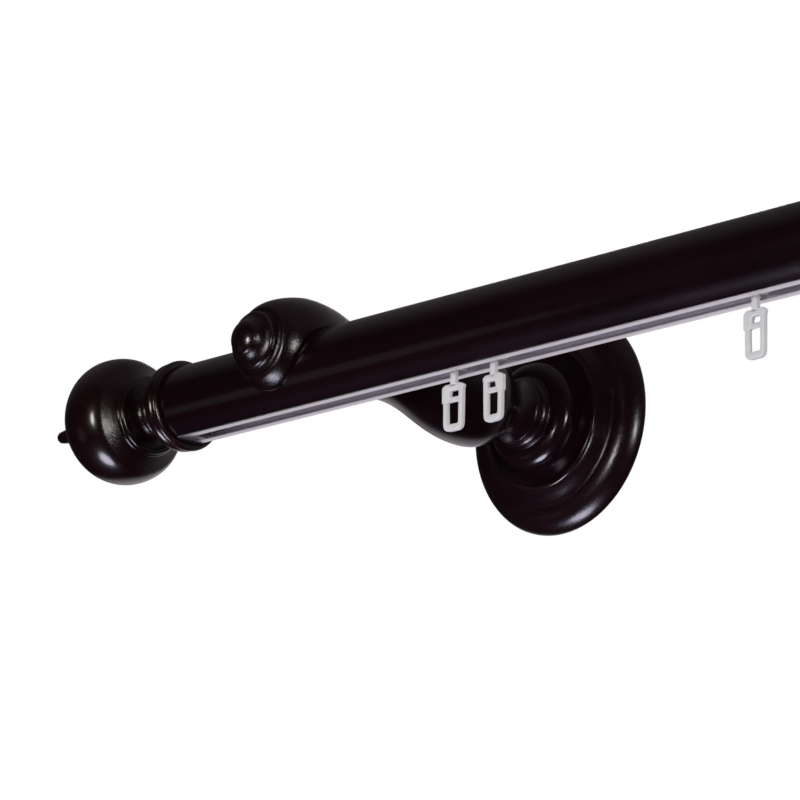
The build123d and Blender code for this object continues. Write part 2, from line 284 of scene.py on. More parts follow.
@dataclass(frozen=True)
class DrawnMetal:
    """Bare metal with fine lines along its length."""

    name: str
    colour: Colour
    shade: Colour
    roughness: float = 0.32
    lines: Triple = (6.0, 2600.0, 2600.0)
    cloud_cells: float = 60.0
    relief: float = 0.00004

    def material(self) -> Material:
        """Build the finish.

        Returns:
            The material.
        """
        made, g, shader = new_material(self.name)
        line = g.noise(self.lines, 3.0, 0.6)
        cloud = g.noise(self.cloud_cells, 3.0)
        feeds = {
            "Base Color": g.blend(line * 0.6 + cloud * 0.4, self.shade, self.colour),
            "Roughness": self.roughness + (line - 0.5) * 0.16 + (cloud - 0.5) * 0.1,
            "Metallic": 1.0,
            "Normal": g.bump(0.25, self.relief, line),
        }
        g.dress(shader, feeds)
        return made


@dataclass(frozen=True)
class MouldedPlastic:
    """Moulded plastic with a faint orange-peel skin."""

    name: str
    colour: Colour
    shade: Colour
    roughness: float = 0.42
    glow: float = 0.2
    clear: float = 0.0
    glow_reach: Triple = (0.0012, 0.0012, 0.0012)
    cloud_cells: float = 150.0
    peel_cells: float = 2200.0
    relief: float = 0.00005

    def material(self) -> Material:
        """Build the finish.

        Returns:
            The material.
        """
        made, g, shader = new_material(self.name)
        cloud = g.noise(self.cloud_cells)
        feeds = {
            "Base Color": g.blend(cloud, self.shade, self.colour),
            "Roughness": self.roughness + (cloud - 0.5) * 0.14,
            "Transmission Weight": self.clear,
            "Subsurface Weight": self.glow,
            "Subsurface Radius": self.glow_reach,
            "Normal": g.bump(0.12, self.relief, g.noise(self.peel_cells, 1.0)),
        }
        g.dress(shader, feeds)
        return made


class Outline:
    """A turning profile drawn step by step, as distance along the axis and radius, in millimetres."""

    # The handles with which a cubic curve follows a quarter of an ellipse
    QUARTER = 0.5523
    # The sharpest bend that counts, in radians to the millimetre, and the shortest run for it
    SHARPEST, SHORTEST = 1.5, 0.25
    # How strongly bends mark the wood, and how much is taken off
    HOLLOW, CREST = (2.4, 0.12), (1.6, 0.25)
    MOST_HOLLOW = 0.8

    def __init__(self, start: Point) -> None:
        """Begin at a point."""
        self.points: list[Point] = [start]
        self.matt: dict[int, float] = {}

    @property
    def end(self) -> Point:
        """The point reached so far."""
        return self.points[-1]

    def line(self, *ends: Point) -> "Outline":
        """Run straight to each point in turn."""
        self.points.extend(ends)
        return self

    def dull(self, count: int, amount: float = 1.0, fade: int = 1, keep: int = 0) -> "Outline":
        """Leave a stretch of points matt and gritty, as the polish missed them.

        Args:
            count: How many points.
            amount: How matt the middle of the stretch is, up to 1.
            fade: How many points it takes to fade in and out.
            keep: How many points after the stretch stay polished.

        Returns:
            The outline.
        """
        first = len(self.points) - keep - count
        for i in range(count):
            share = amount * min(1.0, (i + 1) / fade, (count - i) / fade)
            self.matt[first + i] = max(share, self.matt.get(first + i, 0.0))
        return self

    def arc(self, end: Point, rise: float, steps: int = 12) -> "Outline":
        """Run along a circular arc.

        Args:
            end: Where the arc ends.
            rise: Its height, which is positive to the left of the way it runs.
            steps: How many pieces it is cut into.

        Returns:
            The outline.
        """
        a, b = Vector(self.end), Vector(end)
        chord = b - a
        left = Vector((-chord.y, chord.x)).normalized()
        top = (a + b) / 2 + left * rise
        radius = (chord.length_squared / 4 + rise * rise) / (2 * rise)
        centre = top - left * radius
        half = math.asin(clamp(chord.length / 2 / abs(radius)))
        sweep = 2 * half * (-1 if rise > 0 else 1)
        spoke = a - centre
        for step in range(1, steps + 1):
            turn = Matrix.Rotation(sweep * step / steps, 2)
            place = centre + turn @ spoke
            self.points.append((place.x, place.y))
        self.points[-1] = end
        return self

    def curve(self, near: Point, far: Point, end: Point, steps: int = 24) -> "Outline":
        """Run along a cubic curve.

        Args:
            near: The handle at the start.
            far: The handle at the end.
            end: Where the curve ends.
            steps: How many pieces it is cut into.

        Returns:
            The outline.
        """
        spots = (self.end, near, far, end)
        for step in range(1, steps + 1):
            t = step / steps
            shares = ((1 - t) ** 3, 3 * t * (1 - t) ** 2, 3 * t * t * (1 - t), t**3)
            along, radius = (sum(k * spot[axis] for k, spot in zip(shares, spots)) for axis in (0, 1))
            self.points.append((along, radius))
        return self

    def quarter(self, end: Point, steps: int = 24, axial_first: bool = False) -> "Outline":
        """Run along a quarter of an ellipse.

        Args:
            end: Where it ends.
            steps: How many pieces it is cut into.
            axial_first: Whether it leaves along the axis, not across it.

        Returns:
            The outline.
        """
        k = self.QUARTER
        (s, r), (x, y) = self.end, end
        if axial_first:
            return self.curve((s + k * (x - s), r), (x, y - k * (y - r)), end, steps)
        return self.curve((s, r + k * (y - r)), (x - k * (x - s), y), end, steps)

    def ogee(self, end: Point, near: float, far: float, steps: int = 30) -> "Outline":
        """Run along a curve that leaves and arrives along the axis."""
        (s, r), (x, y) = self.end, end
        return self.curve((s + near * (x - s), r), (x - far * (x - s), y), end, steps)

    def slope(self, end: Point, handle: float, steps: int = 20) -> "Outline":
        """Run along a curve that leaves and arrives across the axis."""
        (s, r), (x, y) = self.end, end
        return self.curve((s, r + handle * (y - r)), (x, y - handle * (y - r)), end, steps)

    def bends(self) -> list[tuple[float, float]]:
        """How hollow and how sharply crowned the profile is at each point, each from 0 to 1.

        Returns:
            A pair for each point, for a profile whose wood lies to the right of the way it runs.
        """
        spots = [Vector(p) for p in self.points]
        found: list[float] = []
        for i, spot in enumerate(spots):
            before, after = spots[max(i - 1, 0)], spots[min(i + 1, len(spots) - 1)]
            a, b = spot - before, after - spot
            length = (a.length + b.length) / 2
            if min(a.length, b.length) < WELD:
                found.append(0.0)
                continue
            turn = math.atan2(a.x * b.y - a.y * b.x, a.dot(b))
            found.append(clamp(turn / max(length, self.SHORTEST), -self.SHARPEST, self.SHARPEST))
        marks: list[tuple[float, float]] = []
        for i in range(len(found)):
            near = found[max(i - 2, 0) : i + 3]
            bend = sum(near) / len(near)
            hollow = min(self.MOST_HOLLOW, bend * self.HOLLOW[0] - self.HOLLOW[1])
            crest = clamp(-bend * self.CREST[0] - self.CREST[1])
            marks.append((max(self.matt.get(i, 0.0), hollow), crest))
        return marks


class Bench:
    """Tools that turn outlines and forms into finished pieces."""

    # How many rounds fit on one side of an outline, and the least radius and the steps of an inset one
    ROUNDS_TO_SIDE = 2.02
    LEAST_ROUND, INSET_STEPS = 0.05, 6
    # The steps in the rounded edge of a plate
    EDGE_STEPS = 4

    def __init__(self) -> None:
        """Build the two node trees that the pieces share."""
        self.lathe = self._lathe_tree()
        self.row = self._row_tree()

    @staticmethod
    def _tree(
        name: str, inputs: Mapping[str, str]
    ) -> tuple[NodeTree, Graph, Callable[[str], Wire]]:
        """A geometry tree that takes a geometry, a finish and other named inputs.

        Args:
            name: The tree's name.
            inputs: The other inputs' names and kinds.

        Returns:
            The tree, its graph, and a function that gives an input's wire by name.
        """
        tree = bpy.data.node_groups.new(name, "GeometryNodeTree")
        for label, kind in {"Geometry": "Geometry", **inputs, "Finish": "Material"}.items():
            tree.interface.new_socket(label, in_out="INPUT", socket_type=f"NodeSocket{kind}")
        tree.interface.new_socket("Geometry", in_out="OUTPUT", socket_type="NodeSocketGeometry")
        graph = Graph(tree)
        entry = tree.nodes.new("NodeGroupInput")
        return tree, graph, lambda label: Wire(graph, entry.outputs[label])

    @staticmethod
    def _end(graph: Graph, geometry: Wire, finish: Wire) -> None:
        """Close a tree with Realize Instances, Set Material and the output.

        Args:
            graph: The tree's graph.
            geometry: The geometry to put out.
            finish: Its material.
        """
        real = graph.node("GeometryNodeRealizeInstances", None, {"Geometry": geometry})
        dressed = graph.node("GeometryNodeSetMaterial", None, {"Geometry": real, "Material": finish})
        graph.node("NodeGroupOutput", None, {0: dressed})

    def _lathe_tree(self) -> NodeTree:
        """A tree that turns a profile round the Z axis and carries its marks.

        Returns:
            The tree.
        """
        tree, g, given = self._tree("turned_profile", {"Segments": "Int"})
        profile, of_mesh = given("Geometry"), {"component": "MESH"}
        count = g.node("GeometryNodeAttributeDomainSize", of_mesh, {"Geometry": profile}, "Point Count")
        sides = {"Vertices X": given("Segments") + 1, "Vertices Y": count}
        grid = g.node("GeometryNodeMeshGrid", None, sides)
        index = g.node("GeometryNodeInputIndex")
        row = (index / count).through("FLOOR")
        column = index % count

        def sampled(kind: str, value: Wire) -> Wire:
            """A value of the profile at this column."""
            feeds = {"Geometry": profile, "Value": value, "Index": column}
            return g.node("GeometryNodeSampleIndex", {"data_type": kind, "domain": "POINT"}, feeds)

        spot = sampled("FLOAT_VECTOR", g.node("GeometryNodeInputPosition"))
        radius = g.node("ShaderNodeSeparateXYZ", None, {0: spot}, "X")
        along = g.node("ShaderNodeSeparateXYZ", None, {0: spot}, "Z")
        angle = row * TAU / given("Segments")
        x, y = radius * angle.through("COSINE"), radius * angle.through("SINE")
        place = g.node("ShaderNodeCombineXYZ", None, {"X": x, "Y": y, "Z": along})
        turned = g.node("GeometryNodeSetPosition", None, {"Geometry": grid, "Position": place})
        for mark in ("hollow", "crest"):
            read = g.node("GeometryNodeInputNamedAttribute", {"data_type": "FLOAT"}, {"Name": mark})
            kind, feeds = {"data_type": "FLOAT", "domain": "POINT"}, {"Geometry": turned, "Name": mark}
            feeds["Value"] = sampled("FLOAT", read)
            turned = g.node("GeometryNodeStoreNamedAttribute", kind, feeds)
        closed = g.node("GeometryNodeMergeByDistance", None, {"Geometry": turned, "Distance": SEAM})
        self._end(g, closed, given("Finish"))
        return tree

    def _row_tree(self) -> NodeTree:
        """A tree that sets a form at even spaces along X and turns each by one angle.

        Returns:
            The tree.
        """
        inputs = {"Form": "Object", "Count": "Int", "First": "Vector", "Spacing": "Vector"}
        tree, g, given = self._tree("row_of_forms", {**inputs, "Turn": "Float"})
        feeds = {"Count": given("Count"), "Start Location": given("First"), "Offset": given("Spacing")}
        line = g.node("GeometryNodeMeshLine", {"mode": "OFFSET"}, feeds)
        form = g.node("GeometryNodeObjectInfo", None, {"Object": given("Form")}, "Geometry")
        spin = g.node("ShaderNodeCombineXYZ", None, {"Z": given("Turn")})
        feeds = {"Points": line, "Instance": form, "Rotation": spin}
        self._end(g, g.node("GeometryNodeInstanceOnPoints", None, feeds), given("Finish"))
        return tree

    @staticmethod
    def _baked(holder: Object) -> Mesh:
        """Use up an object and keep what its modifiers make as a plain mesh.

        Args:
            holder: The object.

        Returns:
            The plain mesh.
        """
        graph = bpy.context.evaluated_depsgraph_get()
        made = bpy.data.meshes.new_from_object(holder.evaluated_get(graph))
        bpy.data.objects.remove(holder)
        return made

    @staticmethod
    def _settled(work: bmesh.types.BMesh, mesh: Mesh) -> Mesh:
        """Write a working mesh into a mesh and free it.

        Args:
            work: The working mesh.
            mesh: The mesh to write.

        Returns:
            The same mesh.
        """
        work.to_mesh(mesh)
        work.free()
        return mesh

    def _run(self, holder: Object, tree: NodeTree, values: Mapping[str, Any], name: str) -> Mesh:
        """Run a tree on an object and keep the result as a plain mesh.

        Args:
            holder: The object whose mesh goes into the tree, which is used up.
            tree: The geometry tree.
            values: The tree's inputs by name.
            name: The new mesh's name.

        Returns:
            The plain mesh.
        """
        modifier = holder.modifiers.new("shape", "NODES")
        modifier.node_group = tree
        for socket in tree.interface.items_tree:
            if socket.in_out == "INPUT" and socket.name in values:
                modifier[socket.identifier] = values[socket.name]
        made = self._baked(holder)
        made.name = name
        return made

    @staticmethod
    def loose(name: str, data: ID) -> Object:
        """Put a mesh, a lamp or a camera in the scene as an object at the origin.

        Args:
            name: The object's name.
            data: What it shows.

        Returns:
            The object.
        """
        made = bpy.data.objects.new(name, data)
        bpy.context.scene.collection.objects.link(made)
        return made

    def turn(self, name: str, outline: Outline, finish: Material, segments: int = 144) -> Mesh:
        """Turn an outline round the Z axis.

        Args:
            name: The mesh's name.
            outline: The profile in millimetres.
            finish: The material.
            segments: How many flats go round.

        Returns:
            The turned mesh in metres.
        """
        rough = bpy.data.meshes.new(f"{name}_profile")
        spots = [(radius * MM, 0.0, along * MM) for along, radius in outline.points]
        rough.from_pydata(spots, [(i, i + 1) for i in range(len(spots) - 1)], [])
        for mark, column in (("hollow", 0), ("crest", 1)):
            values = rough.attributes.new(mark, "FLOAT", "POINT")
            values.data.foreach_set("value", [bend[column] for bend in outline.bends()])
        holder = self.loose(f"{name}_profile", rough)
        return self._run(holder, self.lathe, {"Segments": segments, "Finish": finish}, name)

    def repeat(
        self,
        name: str,
        form: Object,
        count: int,
        first: Vector,
        spacing: Vector,
        turn: float,
        finish: Material,
    ) -> Mesh:
        """Set a form in a row.

        Args:
            name: The mesh's name.
            form: The object to repeat.
            count: How many.
            first: The first place in metres.
            spacing: The step to the next place.
            turn: The angle about Z in radians.
            finish: The material.

        Returns:
            The row as one mesh in metres.
        """
        holder = self.loose(f"{name}_row", bpy.data.meshes.new(f"{name}_row"))
        values = {"Form": form, "Count": count, "First": first, "Spacing": spacing, "Turn": turn}
        return self._run(holder, self.row, {**values, "Finish": finish}, name)

    @classmethod
    def tidy(cls, mesh: Mesh, sharp: float = 38.0) -> Mesh:
        """Merge doubles, point the faces outwards and smooth all but the sharp edges.

        Args:
            mesh: The mesh to finish.
            sharp: The angle in degrees past which an edge stays sharp.

        Returns:
            The same mesh.
        """
        work = bmesh.new()
        work.from_mesh(mesh)
        bmesh.ops.remove_doubles(work, verts=work.verts, dist=WELD)
        bmesh.ops.recalc_face_normals(work, faces=work.faces)
        cls._settled(work, mesh)
        mesh.shade_smooth()
        mesh.set_sharp_from_angle(angle=math.radians(sharp))
        return mesh

    @staticmethod
    def drawn(name: str, section: Sequence[Point], start: float, end: float, finish: Material) -> Mesh:
        """Draw a section along X.

        Args:
            name: The mesh's name.
            section: Points across and up, in millimetres, in order round the section.
            start: Where the bar starts along X.
            end: Where it ends.
            finish: The material.

        Returns:
            The bar in metres.
        """
        count = len(section)
        spots = [(x * MM, y * MM, z * MM) for x in (start, end) for y, z in section]
        faces: list[tuple[int, ...]] = [
            (i, (i + 1) % count, count + (i + 1) % count, count + i) for i in range(count)
        ]
        faces += [tuple(range(count)), tuple(range(count, 2 * count))]
        made = bpy.data.meshes.new(name)
        made.from_pydata(spots, [], faces)
        made.materials.append(finish)
        return made

    @classmethod
    def eased(cls, corners: Sequence[Triple], steps: int = 4) -> list[Point]:
        """Round the corners of a closed outline.

        Args:
            corners: Each corner's place and its radius.
            steps: How many pieces each round is cut into.

        Returns:
            The points of the eased outline.
        """
        made: list[Point] = []
        count = len(corners)
        for i, (x, y, radius) in enumerate(corners):
            here = Vector((x, y))
            before = Vector(corners[i - 1][:2]) - here
            after = Vector(corners[(i + 1) % count][:2]) - here
            half = before.angle(after) / 2
            room = min(before.length, after.length) / cls.ROUNDS_TO_SIDE
            reach = min(radius / math.tan(half), room)
            start, end = here + before.normalized() * reach, here + after.normalized() * reach
            for step in range(steps + 1):
                t = step / steps
                spot = start * (1 - t) ** 2 + here * 2 * t * (1 - t) + end * t * t
                made.append((spot.x, spot.y))
        return made

    @classmethod
    def inset(cls, corners: Sequence[Triple], by: float) -> list[Point]:
        """Shrink a clockwise outline, or widen it with a negative amount, and round its corners.

        Args:
            corners: Each corner's place and its radius.
            by: How far each side moves inwards.

        Returns:
            The points of the eased outline.
        """
        moved: list[Triple] = []
        for i, (x, y, radius) in enumerate(corners):
            here = Vector((x, y))
            first = (here - Vector(corners[i - 1][:2])).normalized()
            second = (Vector(corners[(i + 1) % len(corners)][:2]) - here).normalized()
            inward = Vector((first.y + second.y, -first.x - second.x))
            reach = by * 2.0 / max(inward.length_squared, 0.2)
            left = max(radius - by, cls.LEAST_ROUND)
            moved.append((x + inward.x * reach, y + inward.y * reach, left))
        return cls.eased(moved, cls.INSET_STEPS)

    @classmethod
    def plate(
        cls, outer: Sequence[Triple], hole: Sequence[Triple], depth: float, edge: float
    ) -> Mesh:
        """A flat plate with a hole and rounded edges, in the XZ plane.

        Args:
            outer: The clockwise corners of the outer edge with their radii, in millimetres.
            hole: The clockwise corners of the hole with their radii.
            depth: The plate's thickness.
            edge: The radius of its edges.

        Returns:
            The plate in metres.
        """
        work = bmesh.new()
        turns = [math.pi / 2 * k / cls.EDGE_STEPS for k in range(cls.EDGE_STEPS + 1)]
        levels = [(edge * (1 - math.cos(turn)), edge * math.sin(turn)) for turn in turns]
        half = depth / 2 - edge
        rings = [(inset, -half - out) for inset, out in reversed(levels)]
        rings += [(inset, half + out) for inset, out in levels]
        caps: tuple[list[bmesh.types.BMEdge], list[bmesh.types.BMEdge]] = ([], [])
        for corners, sign in ((outer, 1.0), (hole, -1.0)):
            loops = [
                [work.verts.new((x * MM, y * MM, z * MM)) for x, z in cls.inset(corners, sign * inset)]
                for inset, y in rings
            ]
            for low, high in zip(loops, loops[1:]):
                for i in range(len(low)):
                    work.faces.new((low[i - 1], low[i], high[i], high[i - 1]))
            for cap, loop in zip(caps, (loops[0], loops[-1])):
                cap.extend(work.edges.get((loop[i - 1], loop[i])) for i in range(len(loop)))
        for cap in caps:
            bmesh.ops.triangle_fill(work, use_beauty=True, edges=cap)
        return cls._settled(work, bpy.data.meshes.new("plate"))

    @classmethod
    def block(cls, size: Triple, height: float, edge: float) -> Mesh:
        """A block with rounded edges, given in millimetres.

        Args:
            size: Its length, depth and height.
            height: How far up its middle is on the Z axis.
            edge: The radius of its edges.

        Returns:
            The block in metres.
        """
        work = bmesh.new()
        middle, whole = Vector((0, 0, height)) * MM, Vector(size) * MM
        place = Matrix.Translation(middle) @ Matrix.Diagonal((*whole, 1.0))
        bmesh.ops.create_cube(work, size=1.0, matrix=place)
        bmesh.ops.bevel(
            work, geom=list(work.edges), offset=edge * MM, segments=3, profile=0.5, affect="EDGES"
        )
        return cls._settled(work, bpy.data.meshes.new("block"))

    @classmethod
    def joined(cls, name: str, meshes: Sequence[Mesh]) -> Mesh:
        """Put several meshes into one.

        Args:
            name: The new mesh's name.
            meshes: The meshes.

        Returns:
            The new mesh.
        """
        work = bmesh.new()
        for mesh in meshes:
            work.from_mesh(mesh)
        return cls._settled(work, bpy.data.meshes.new(name))

    def cut(self, mesh: Mesh, tool: Mesh) -> Mesh:
        """Take a tool's shape out of a mesh.

        Args:
            mesh: The mesh to cut.
            tool: The closed shape to take away.

        Returns:
            The cut mesh.
        """
        piece, cutter = self.loose("piece", mesh), self.loose("cutter", tool)
        modifier = piece.modifiers.new("cut", "BOOLEAN")
        modifier.operation = "DIFFERENCE"
        modifier.solver = "EXACT"
        modifier.object = cutter
        made = self._baked(piece)
        bpy.data.objects.remove(cutter)
        return made

    def show(self, name: str, mesh: Mesh, body: str, slot: str, *nodes: str) -> None:
        """Make a finished piece that rides on a body and stands for its nodes.

        Args:
            name: The piece's name.
            mesh: Its mesh, in place.
            body: The body that carries it.
            slot: Not used.
            nodes: The CAD nodes that it stands for.
        """
        made = self.loose(name, mesh)
        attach(made, body)
        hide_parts(*nodes)
        LOG.info("%s: %d faces on %s", name, len(mesh.polygons), body)


def axis_frame(origin: Vector, along: Vector) -> Matrix:
    """A frame whose Z axis runs along a level direction from an origin in millimetres.

    Args:
        origin: The frame's origin.
        along: A level unit vector.

    Returns:
        The frame, in metres.
    """
    up = Vector((0, 0, 1))
    side = up.cross(along)
    turn = Matrix((up, side, along)).transposed()
    return Matrix.Translation(origin * MM) @ turn.to_4x4()


@dataclass
class Hanging:
    """Where the rod hangs, in millimetres."""

    rod_radius: float = 14.0
    rod_end: float = 500.0
    rod_y: float = -131.6
    rod_z: float = -8.6
    bracket_x: float = 440.6
    track_face: float = -21.5
    track_height: float = 7.0
    body: str = "rod_set"

    def around(self, radius: float, angle: float) -> Point:
        """A point across and up, at an angle round the rod's axis."""
        return (self.rod_y + radius * math.cos(angle), self.rod_z + radius * math.sin(angle))

    def circle(self, radius: float) -> list[Point]:
        """A ring of points round the rod's axis."""
        return [self.around(radius, TAU * i / CIRCLE_FLATS) for i in range(CIRCLE_FLATS)]


@dataclass
class Piece:
    """A sub-assembly: where it hangs, the tools that make it and its finish."""

    at: Hanging
    bench: Bench
    finish: Material


@dataclass
class Finial(Piece):
    """The ball end: a beaded collar, a hollow neck, two fine rings, a ball and a nub."""

    socket: float = 3.0
    bore: float = 14.15
    mouth: float = 15.3
    ball: float = 22.7
    length: float = 70.0

    def outline(self) -> Outline:
        """The profile from the socket's floor to the tip of the nub.

        Returns:
            The outline, measured outward from the mouth.
        """
        drawn = Outline((self.socket, 0.0))
        drawn.line((self.socket, self.bore), (0.0, self.bore), (0.0, self.mouth))
        drawn.arc((2.4, self.mouth), 0.95).arc((7.6, 13.6), 1.4, 16).line((8.2, 12.4))
        drawn.arc((12.2, 8.3), -1.0).arc((16.2, 8.3), 1.1, 14).dull(14)
        drawn.arc((19.0, 13.5), -1.1, 14).arc((20.4, 14.1), 0.5, 8).arc((21.8, 14.7), 0.5, 8)
        drawn.arc((24.8, 19.3), -0.12, 18)
        drawn.curve((26.1, 21.3), (29.8, self.ball), (34.7, self.ball), 28).dull(28, 0.8, 9, 18)
        drawn.quarter((51.3, 5.0), 36, axial_first=True)
        drawn.arc((52.4, 4.7), -0.2, 6).line((67.3, 2.25))
        return drawn.quarter((self.length, 0.0), 12, axial_first=True)

    def build(self) -> None:
        """Turn both finials."""
        at, bench = self.at, self.bench
        for side in Side:
            mesh = bench.turn(f"finial_{side.word}_turned", self.outline(), self.finish)
            mouth = Vector((side.value * (at.rod_end - self.socket), at.rod_y, at.rod_z))
            mesh.transform(axis_frame(mouth, Vector((side.value, 0, 0))))
            bench.show(mesh.name, bench.tidy(mesh), at.body, "dark_wood", f"finial_{side.word}")


@dataclass
class Arm(Piece):
    """The bracket arm: a tip, a ring, a bulb that wraps over the rod, a waist and a rear bulb."""

    tip: float = 28.6
    bulb: float = 18.8
    back: float = -95.6
    saddle: float = 0.12
    saddle_half: float = 40.0
    ease: float = 1.8
    ease_depth: float = 1.08
    least_left: float = 0.2

    def outline(self) -> Outline:
        """The profile from the back end to the tip.

        Returns:
            The outline, measured from the rod's axis into the room.
        """
        drawn = Outline((self.back, 0.0)).line((self.back, 11.0))
        drawn.quarter((-84.0, 17.2), 20)
        drawn.ogee((-41.0, 8.8), 0.39, 0.35, 36).ogee((0.0, self.bulb), 0.39, 0.44, 36)
        drawn.curve((7.8, self.bulb), (19.2, 14.8), (19.2, 11.3), 28).dull(12, 0.7)
        drawn.arc((20.9, 8.9), -0.4, 10).dull(10).arc((22.95, 9.15), 1.0, 16)
        drawn.arc((26.5, 5.9), -0.6, 14).dull(14)
        return drawn.curve((27.1, 5.6), (self.tip, 3.6), (self.tip, 0.0), 20).dull(9, 0.7, 4, 11)

    def _ease_saddle(self, mesh: Mesh) -> None:
        """Draw the skin in where it nears the rod, so the saddle's edge is round.

        Args:
            mesh: The turned arm in place, in metres.
        """
        at = self.at
        for vertex in mesh.vertices:
            x, y, z = vertex.co / MM
            away = math.hypot(y - at.rod_y, z - at.rod_z) - at.rod_radius
            near = 1.0 - clamp(away / self.ease)
            if near <= 0.0 or y - at.rod_y > at.rod_radius + self.ease:
                continue
            middle = math.copysign(at.bracket_x, x)
            spoke = Vector((x - middle, z))
            depth = self.ease_depth * (1.0 - math.sqrt(1.0 - near * near))
            left = max(self.least_left, 1.0 - depth / max(spoke.length, WELD))
            vertex.co = Vector((middle + spoke.x * left, y, spoke.y * left)) * MM

    def build(self) -> None:
        """Turn both arms and cut the saddles for the rod."""
        at, bench = self.at, self.bench
        ring = at.circle(at.rod_radius + self.saddle)
        for side in Side:
            name, middle = f"arm_{side.word}_turned", side.value * at.bracket_x
            mesh = bench.turn(name, self.outline(), self.finish)
            mesh.transform(axis_frame(Vector((middle, at.rod_y, 0)), Vector((0, -1, 0))))
            self._ease_saddle(mesh)
            ends = (middle - self.saddle_half, middle + self.saddle_half)
            tool = bench.tidy(bench.drawn("saddle", ring, *ends, self.finish))
            mesh = bench.cut(bench.tidy(mesh), tool)
            mesh.name = name
            bench.show(name, bench.tidy(mesh), at.body, "dark_wood", f"arm_{side.word}")


@dataclass
class Rose(Piece):
    """The wall rose: a rim, a groove, a slope, a step, a domed collar and a beaded neck."""

    radius: float = 41.5
    length: float = 36.0
    insert_bore: float = 5.1
    insert_depth: float = 12.0
    segments: int = 176

    def outline(self) -> Outline:
        """The profile from the insert's hole over the rim to the front of the neck.

        Returns:
            The outline, measured from the wall into the room.
        """
        drawn = Outline((self.insert_depth, 0.0))
        drawn.line((self.insert_depth, self.insert_bore), (0.0, self.insert_bore))
        drawn.line((0.0, self.radius), (0.8, self.radius))
        drawn.arc((7.0, 32.6), 1.9, 26).dull(26, 0.5).slope((10.6, 26.6), 0.25).dull(14, 0.4)
        drawn.arc((10.6, 25.0), 0.5, 10).arc((9.9, 18.0), -0.8, 16)
        drawn.quarter((15.0, 19.7), 16).quarter((19.7, 13.8), 24, axial_first=True).dull(6, 0.5)
        drawn.arc((20.5, 13.0), -0.2, 8).dull(8, 0.9).arc((22.9, 11.9), 0.35, 12).dull(8, 0.7)
        drawn.arc((25.2, 11.5), 0.25, 12).dull(10, 0.7).arc((self.length, 10.8), -0.6, 18)
        return drawn.line((self.length, 0.0))

    def build(self) -> None:
        """Turn both roses."""
        bench = self.bench
        for side in Side:
            mesh = bench.turn(f"rose_{side.word}_turned", self.outline(), self.finish, self.segments)
            back = Vector((side.value * self.at.bracket_x, 0, 0))
            mesh.transform(axis_frame(back, Vector((0, -1, 0))))
            bench.show(mesh.name, bench.tidy(mesh), self.at.body, "dark_wood", f"rose_{side.word}")


@dataclass
class Rod(Piece):
    """The rod, with a groove for the track in its underside."""

    groove_half: float = 6.1
    groove_end: float = 496.1
    flats: int = 150
    sharp: float = 30.0

    def build(self) -> None:
        """Draw the rod, grooved between its plain ends."""
        at, bench, wood = self.at, self.bench, self.finish
        half = math.asin(self.groove_half / at.rod_radius)
        sweep = [-math.pi / 2 + half + (TAU - 2 * half) * i / self.flats for i in range(self.flats + 1)]
        top = at.track_face + at.track_height
        grooved = [at.around(at.rod_radius, angle) for angle in sweep]
        grooved += [(at.rod_y - self.groove_half, top), (at.rod_y + self.groove_half, top)]
        bars = [bench.drawn("rod", grooved, -self.groove_end, self.groove_end, wood)]
        for side in Side:
            ends = sorted((side.value * self.groove_end, side.value * at.rod_end))
            bars.append(bench.drawn("rod", at.circle(at.rod_radius), *ends, wood))
        mesh = bench.joined("rod_grooved", [bench.tidy(bar, self.sharp) for bar in bars])
        mesh.materials.append(wood)
        mesh.shade_smooth()
        mesh.set_sharp_from_angle(angle=math.radians(self.sharp))
        bench.show("rod_grooved", mesh, at.body, "dark_wood", "rod")


@dataclass
class Track(Piece):
    """The track: a channel with two eased lips and a slot between them."""

    half: float = 6.0
    end: float = 496.0
    wall: float = 1.2
    slot_half: float = 2.7
    sharp: float = 34.0

    def build(self) -> None:
        """Draw the track."""
        at, bench = self.at, self.bench
        w, h, t, s = self.half, at.track_height, self.wall, self.slot_half
        corners = [
            (-w, 0.0, 0.3), (-s, 0.0, 0.3), (-s, t, 0.15), (-w + t, t, 0.2), (-w + t, h - t, 0.2),
            (w - t, h - t, 0.2), (w - t, t, 0.2), (s, t, 0.15), (s, 0.0, 0.3), (w, 0.0, 0.3),
            (w, h, 0.2), (-w, h, 0.2),
        ]
        section = [(at.rod_y + y, at.track_face + z) for y, z in bench.eased(corners)]
        mesh = bench.drawn("track_channel", section, -self.end, self.end, self.finish)
        bench.show("track_channel", bench.tidy(mesh, self.sharp), at.body, "track_metal", "track")


